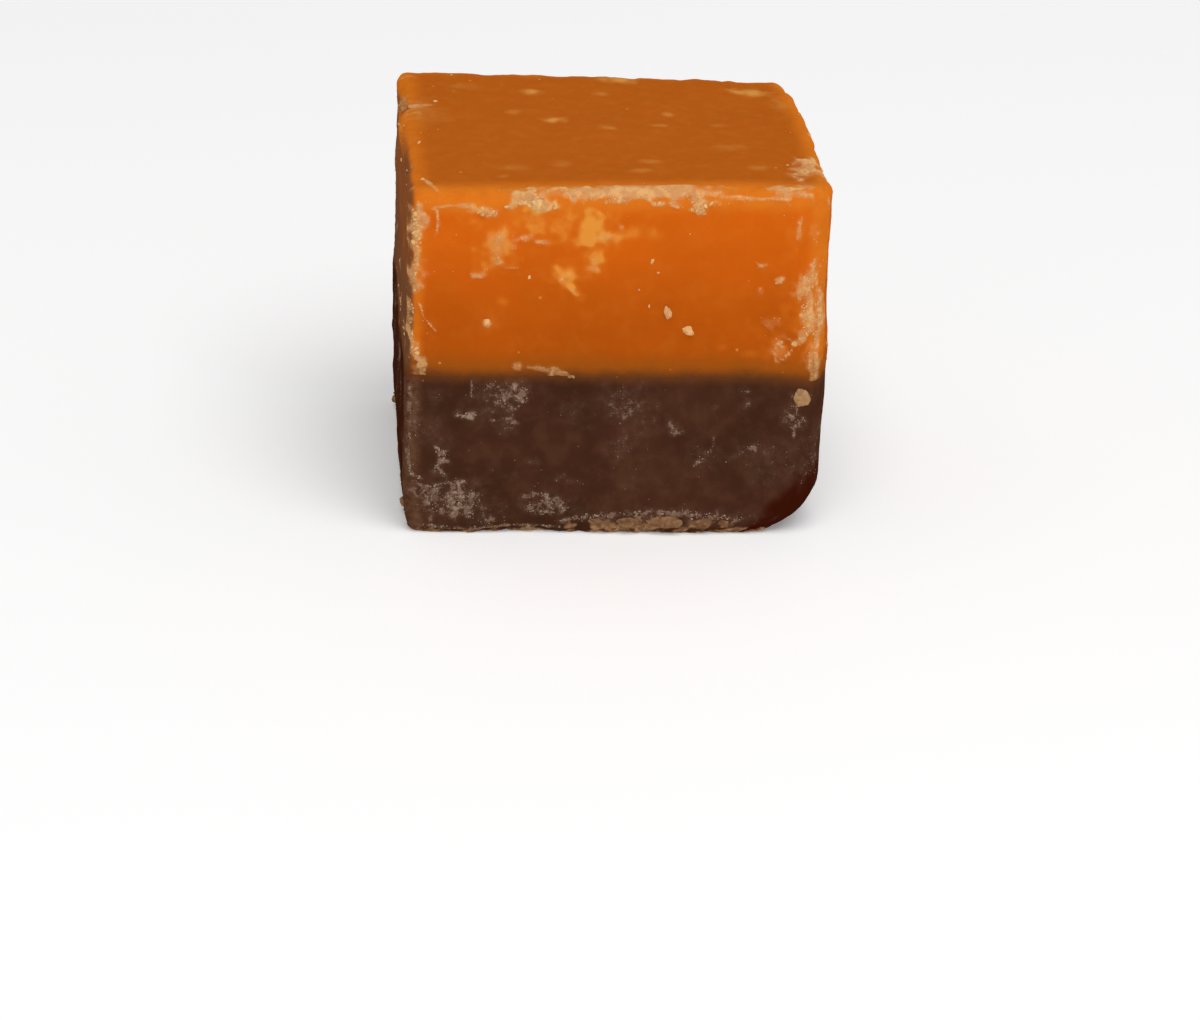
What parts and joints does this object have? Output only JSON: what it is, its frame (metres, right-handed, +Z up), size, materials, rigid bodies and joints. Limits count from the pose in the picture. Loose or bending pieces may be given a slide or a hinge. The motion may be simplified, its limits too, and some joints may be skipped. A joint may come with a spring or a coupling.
{
  "type": "piece of fudge",
  "caption": "Hand-cut cube of two-layer fudge: an orange layer on a chocolate layer, with soft rounded edges, clinging crumbs and a flat base.",
  "frame": {"origin": "centre of the flat base, under the middle of the cube's outline", "axes": "+Z up from the chocolate base to the orange top, front face towards -Y, +X along the front face to its right"},
  "size_m": [0.0282, 0.0256, 0.0245],
  "materials": {
    "orange_fudge": "smooth waxy orange fudge with pale sugar blotches and crumbs",
    "chocolate_fudge": "satin dark chocolate fudge with pale sugar bloom"
  },
  "bodies": {
    "root": {"orange_layer": "orange_fudge", "chocolate_layer": "chocolate_fudge"}
  },
  "joints": []
}
